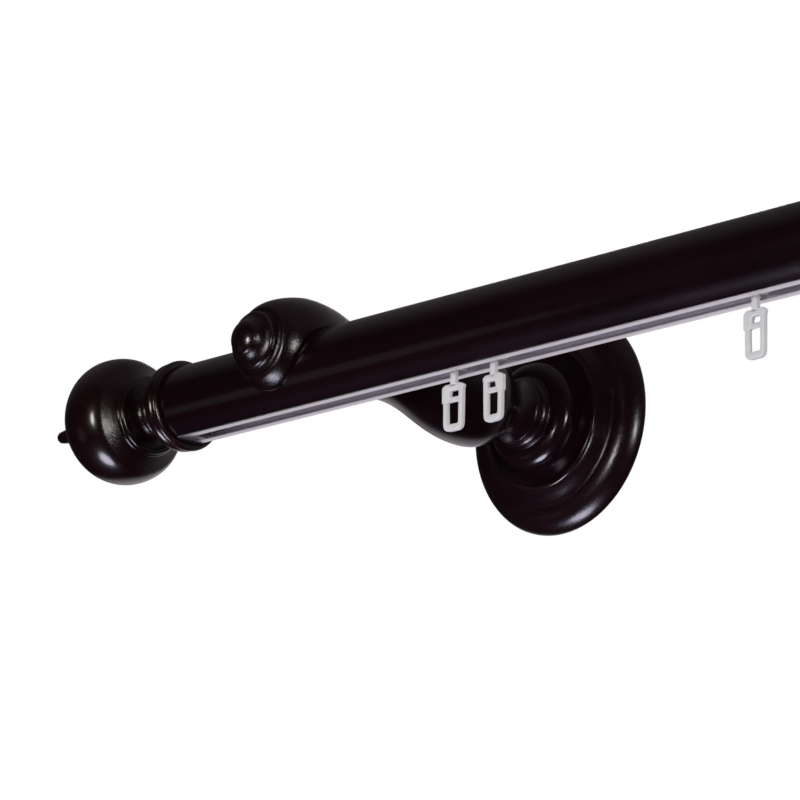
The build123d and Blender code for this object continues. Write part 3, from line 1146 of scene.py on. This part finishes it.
@dataclass
class TrackScrews(Piece):
    """The raised countersunk screws in the track, each with a cross recess."""

    count: int = 5
    spacing: float = 200.0
    seat: float = -15.7
    head: float = 2.5
    shank: float = 1.5
    length: float = 12.0
    dome: float = 0.55
    rim: float = 0.15
    cone: float = 1.1
    point: float = 2.0
    segments: int = 24
    recess: Triple = (2.6, 0.5, 1.2)
    recess_height: float = -0.5
    recess_edge: float = 0.1
    recess_turn: float = 0.4

    def build(self) -> None:
        """Turn one screw and set it along the track."""
        at, bench = self.at, self.bench
        drawn = Outline((-self.dome, 0.0)).quarter((0.0, self.head), 8)
        drawn.line((self.rim, self.head), (self.cone, self.shank))
        drawn.line((self.length - self.point, self.shank), (self.length, 0.0))
        mesh = bench.tidy(bench.turn("track_screw", drawn, self.finish, self.segments))
        for turn in (0.0, math.pi / 2):
            slot = bench.block(self.recess, self.recess_height, self.recess_edge)
            slot.transform(Matrix.Rotation(turn + self.recess_turn, 4, "Z"))
            mesh = bench.cut(mesh, slot)
        form = bench.loose("track_screw_form", bench.tidy(mesh))
        first = Vector((-self.spacing * (self.count - 1) / 2, at.rod_y, self.seat)) * MM
        step = Vector((self.spacing * MM, 0, 0))
        row = bench.repeat("track_screw_row", form, self.count, first, step, 0.0, self.finish)
        bpy.data.objects.remove(form)
        bench.show("track_screw_row", bench.tidy(row), at.body, "screw_steel", "track_screws")


@dataclass
class Gliders(Piece):
    """The moulded gliders: a head, a stem and a ring with a latch and a crossbar.

    Each has its place as a share of the rod's half length, and its turn in degrees.
    """

    shares: tuple[float, ...] = (
        -0.731, -0.6944, -0.4682, -0.256, -0.092, 0.104, 0.282, 0.478, 0.662, 0.704,
    )
    turns: tuple[float, ...] = (3.0, 178.0, -4.0, 176.0, -5.0, 3.0, 185.0, -9.0, 4.0, 174.0)
    shoulder_top: float = -3.45
    depth: float = 1.8
    edge: float = 0.35
    sharp: float = 42.0

    def form(self) -> Mesh:
        """One glider, hung below the track's face.

        Returns:
            The glider's mesh in metres.
        """
        bench, z = self.bench, self.shoulder_top
        outer = [
            (-3.4, z, 0.5), (3.4, z, 0.5), (4.7, z - 0.9, 0.35), (4.35, z - 2.3, 0.6),
            (4.1, z - 16.0, 2.6), (-4.1, z - 16.0, 2.6), (-4.25, z - 6.2, 0.3), (-4.8, z - 6.2, 0.35),
            (-4.8, z - 0.9, 0.5),
        ]
        hole = [
            (-1.1, z - 2.3, 0.3), (2.55, z - 2.3, 0.4), (2.4, z - 13.7, 0.6), (-2.4, z - 13.7, 0.6),
            (-2.55, z - 6.2, 0.3), (-1.9, z - 6.2, 0.3),
        ]
        ring = bench.plate(outer, hole, self.depth, self.edge)
        crossbar = bench.block((6.8, 1.0, 1.8), z - 5.3, 0.22)
        stem = bench.block((2.4, 1.8, 6.0), -1.55, 0.25)
        head = bench.block((4.4, 8.0, 1.6), 2.25, 0.3)
        return bench.joined("glider_form", (ring, crossbar, stem, head))

    def build(self) -> None:
        """Set each glider at its place and turn, each on its own body."""
        at, bench = self.at, self.bench
        form = bench.loose("glider_form", bench.tidy(self.form(), self.sharp))
        for number, (share, turn) in enumerate(zip(self.shares, self.turns), start=1):
            node, angle = f"glider_{number}", math.radians(turn)
            place = Vector((share * at.rod_end, at.rod_y, at.track_face)) * MM
            mesh = bench.repeat(f"{node}_moulded", form, 1, place, Vector(), angle, self.finish)
            bench.tidy(mesh, self.sharp)
            bench.show(f"{node}_moulded", mesh, f"{node}_body", "white_plastic", node)
        bpy.data.objects.remove(form)


@dataclass(frozen=True)
class Lamp:
    """A soft lamp that only reflections and surfaces see."""

    name: str
    place: Triple
    size: Point
    power: float
    colour: Colour
    aim: Triple = (-0.44, -0.13, 0.0)

    def build(self) -> None:
        """Hang the lamp and point it."""
        data = bpy.data.lights.new(self.name, "AREA")
        data.shape = "ELLIPSE"
        data.size, data.size_y = self.size
        data.energy = self.power
        data.color = self.colour
        lamp = Bench.loose(self.name, data)
        lamp.location = self.place
        way = Vector(self.aim) - Vector(self.place)
        lamp.rotation_euler = way.to_track_quat("-Z", "Y").to_euler()
        lamp.visible_camera = False


@dataclass(frozen=True)
class Glow:
    """A soft patch of light around a direction, with the cosines where it starts and is full."""

    axis: Triple
    start: float
    full: float
    strength: float

    def seen(self, g: Graph, way: Wire) -> Wire:
        """The patch's light.

        Args:
            g: The world's graph.
            way: The direction that is looked in.

        Returns:
            The light that comes from there.
        """
        unit = tuple(Vector(self.axis).normalized())
        near = g.node("ShaderNodeVectorMath", {"operation": "DOT_PRODUCT"}, {0: way, 1: unit}, "Value")
        return near.between(self.start, self.full) * self.strength


@dataclass
class Studio:
    """The camera, the floor, the white surround and the lamps.

    A soft box stands on each side of the camera, a cool one below, one behind and a faint one left.
    """

    azimuth: float = 45.388
    rise: float = 14.899
    roll: float = -0.695
    lens: float = 199.173
    stand: Triple = (0.62905, -1.13793, -0.40704)
    sensor: float = 36.0
    floor_level: float = -6.0
    floor_half: float = 30.0
    floor_pale: Colour = (0.82, 0.82, 0.82)
    floor_dim: Colour = (0.2, 0.2, 0.21)
    floor_glow: float = 0.52
    ambient: float = 0.46
    ambient_behind: Glow = Glow((-0.35, 0.93, 0.1), 0.0, 0.8, 0.5)
    dimness: float = 0.006
    tint: Colour = (1.0, 0.93, 1.0)
    glows: tuple[Glow, ...] = (
        Glow((-0.54, 0.78, -0.3), 0.87, 0.97, 0.62),
        Glow((0.0, 0.5, 0.87), 0.1, 0.7, 0.085),
        Glow((0.1, 0.95, 0.15), 0.45, 0.98, 0.24),
    )
    lamps: tuple[Lamp, ...] = (
        Lamp("left_box", (-0.47, -1.73, -0.12), (0.34, 0.5), 8.8, (1.0, 0.97, 0.93)),
        Lamp("right_box", (1.195, -0.609, -0.2), (0.36, 0.54), 10.0, (1.0, 0.97, 0.93)),
        Lamp("cool_low", (-0.88, -0.66, -1.9), (0.84, 1.0), 26.0, (0.84, 0.82, 1.0)),
        Lamp("back_box", (-1.25, 1.15, 0.62), (0.7, 0.7), 3.0, (1.0, 0.97, 0.95)),
        Lamp("faint_left", (-1.17, -0.83, -0.355), (0.3, 0.3), 0.034, (1.0, 0.95, 0.97)),
    )

    def camera(self) -> None:
        """Stand the camera where the photograph was taken, low and to the right."""
        a, e, r = (math.radians(v) for v in (self.azimuth, self.rise, self.roll))
        look = Vector((-math.sin(a) * math.cos(e), math.cos(a) * math.cos(e), math.sin(e)))
        right = Vector((math.cos(a), math.sin(a), 0))
        down = look.cross(right)
        side = right * math.cos(r) + down * math.sin(r)
        up = right * math.sin(r) - down * math.cos(r)
        data = bpy.data.cameras.new("camera")
        data.sensor_width = self.sensor
        data.lens = self.lens
        data.clip_start = 0.01
        camera = Bench.loose("camera", data)
        turn = Matrix((side, up, -look)).transposed().to_4x4()
        camera.matrix_world = Matrix.Translation(self.stand) @ turn
        bpy.context.scene.camera = camera

    def floor(self) -> None:
        """Lay a floor that is white to the camera and dim to all else, so the lacquer stays deep."""
        mesh = bpy.data.meshes.new("floor")
        w, z = self.floor_half, self.floor_level
        mesh.from_pydata([(-w, -w, z), (w, -w, z), (w, w, z), (-w, w, z)], [], [(0, 1, 2, 3)])
        floor = Bench.loose("floor", mesh)
        made, g, shader = new_material("pale_floor")
        white = {"Emission Color": (1.0, 1.0, 1.0), "Emission Strength": self.floor_glow}
        g.dress(shader, {"Base Color": self.floor_pale, "Roughness": 0.9, **white})
        dim = g.node("ShaderNodeBsdfDiffuse", None, {"Color": self.floor_dim})
        seen = g.node("ShaderNodeLightPath", None, None, "Is Camera Ray")
        out = made.node_tree.nodes["Material Output"]
        mix = g.node("ShaderNodeMixShader", None, {0: seen, 1: dim, 2: Wire(g, shader.outputs[0])})
        g.feed(out.inputs["Surface"], mix)
        mesh.materials.append(made)
        floor.visible_glossy = False

    def surround(self) -> None:
        """Make the world white to the camera and a dim studio with soft glows to everything else."""
        world = bpy.data.worlds.new("studio")
        bpy.context.scene.world = world
        world.use_nodes = True
        g = Graph(world.node_tree)
        way = g.node("ShaderNodeTexCoord", None, None, "Generated")
        level = sum((glow.seen(g, way) for glow in self.glows), self.dimness)
        ambient = self.ambient + self.ambient_behind.seen(g, way)
        seen = g.node("ShaderNodeLightPath", None, None, "Is Camera Ray")
        mirrored = g.node("ShaderNodeLightPath", None, None, "Is Glossy Ray")
        strength = seen + (1.0 - seen) * (mirrored * level + (1.0 - mirrored) * ambient)
        back = world.node_tree.nodes["Background"]
        g.feed(back.inputs["Color"], g.blend(mirrored, (1.0, 1.0, 1.0), self.tint))
        g.feed(back.inputs["Strength"], strength)

    def build(self) -> None:
        """Set up the whole studio."""
        bpy.context.scene.view_settings.view_transform = "Standard"
        self.camera()
        self.floor()
        self.surround()
        for lamp in self.lamps:
            lamp.build()


def dress_nodes(finishes: Mapping[str, Material]) -> None:
    """Give the CAD nodes that stay in view their finishes.

    Args:
        finishes: Each node's name and its material.
    """
    for name, finish in finishes.items():
        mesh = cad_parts[name].data
        mesh.materials.clear()
        mesh.materials.append(finish)
        LOG.info("%s keeps its CAD shape", name)


def main() -> None:
    """Build every part of the rod and the studio, in order."""
    logging.basicConfig(level=logging.INFO, format="%(message)s")
    at = Hanging()
    bench = Bench()
    Studio().build()
    rod_wood = LacqueredWood("rod_wood", Grain.ALONG_ROD).material()
    arm_wood = LacqueredWood("arm_wood", Grain.TO_WALL).material()
    finial_wood = LacqueredWood(
        "finial_wood", Grain.ALONG_ROD, (0.0042, 0.0009, 0.0016), (0.01, 0.0019, 0.003), roughness=0.2
    ).material()
    # Painted cool light: the rose gets a lighter, more purple copy of the rod's stain, which stands in
    # for the cool low light that falls on it.
    rose_wood = LacqueredWood(
        "rose_wood", Grain.ALONG_ROD, (0.0054, 0.0016, 0.003), (0.012, 0.0031, 0.0056)
    ).material()
    metal = DrawnMetal("track_aluminium", (0.88, 0.86, 0.89), (0.76, 0.74, 0.77)).material()
    steel = DrawnMetal(
        "screw_zinc", (0.66, 0.67, 0.68), (0.52, 0.53, 0.55), 0.3, (300.0, 300.0, 300.0)
    ).material()
    brass = DrawnMetal(
        "insert_brass", (0.76, 0.57, 0.25), (0.6, 0.42, 0.16), 0.28, (300.0, 900.0, 300.0)
    ).material()
    white = MouldedPlastic("glider_white", (0.70, 0.695, 0.71), (0.63, 0.625, 0.645)).material()
    clear = MouldedPlastic(
        "stop_clear", (0.62, 0.62, 0.63), (0.54, 0.54, 0.56), 0.24, glow=0.0, clear=0.92
    ).material()
    Rod(at, bench, rod_wood).build()
    Track(at, bench, metal).build()
    Finial(at, bench, finial_wood).build()
    Arm(at, bench, arm_wood).build()
    Rose(at, bench, rose_wood).build()
    TrackScrews(at, bench, steel).build()
    Gliders(at, bench, white).build()
    screws = {name: steel for name in ("finial_screws", "arm_screws", "rod_screws")}
    dress_nodes({**screws, "wall_inserts": brass, "end_stop_left": clear, "end_stop_right": clear})


if __name__ == "__main__":
    main()
